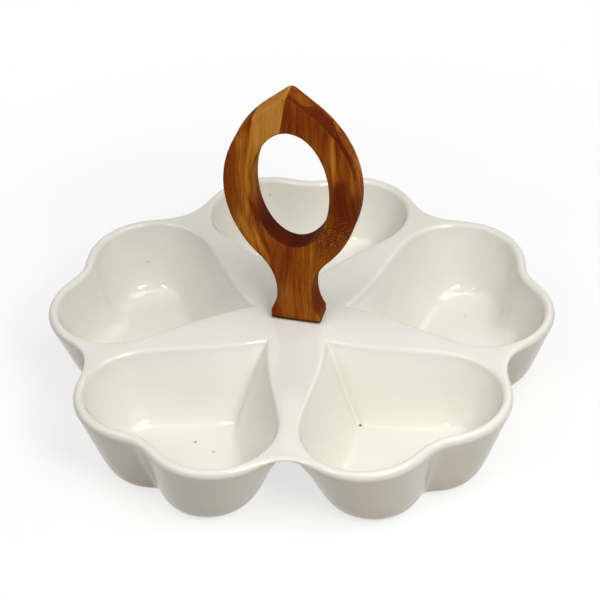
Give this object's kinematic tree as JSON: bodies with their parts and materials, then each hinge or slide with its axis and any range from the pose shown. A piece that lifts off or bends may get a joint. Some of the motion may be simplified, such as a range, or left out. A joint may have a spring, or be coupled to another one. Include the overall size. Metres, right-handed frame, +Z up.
{
  "type": "divided appetizer dish",
  "caption": "Ceramic serving dish of heart-shaped cups joined round a flat hub, with an upright leaf-shaped wooden handle that has a finger hole and turns on its screw.",
  "frame": {"origin": "on the dish's centre line, which is also the handle's turning axis, at the level of the table it stands on", "axes": "+Z up; +X across the handle's broad face, +Y through its finger hole away from the front of the picture"},
  "size_m": [0.2936, 0.2971, 0.2033],
  "materials": {
    "glaze": "glossy warm white glaze",
    "handle_wood": "satin oiled hardwood",
    "screw_steel": "plain zinc-bright steel",
    "pad_rubber": "matt dark rubber"
  },
  "bodies": {
    "dish_body": {"dish": "glaze", "cushion_washer": "pad_rubber"},
    "handle_body": {"handle": "handle_wood", "foot_pad": "pad_rubber", "handle_screw": "screw_steel", "screw_washer": "screw_steel"}
  },
  "joints": [
    {"name": "handle_turn", "type": "hinge", "parent": "dish_body", "child": "handle_body", "pos_m": [0, 0, 0.05], "axis": [0, 0, 1], "continuous": true}
  ]
}
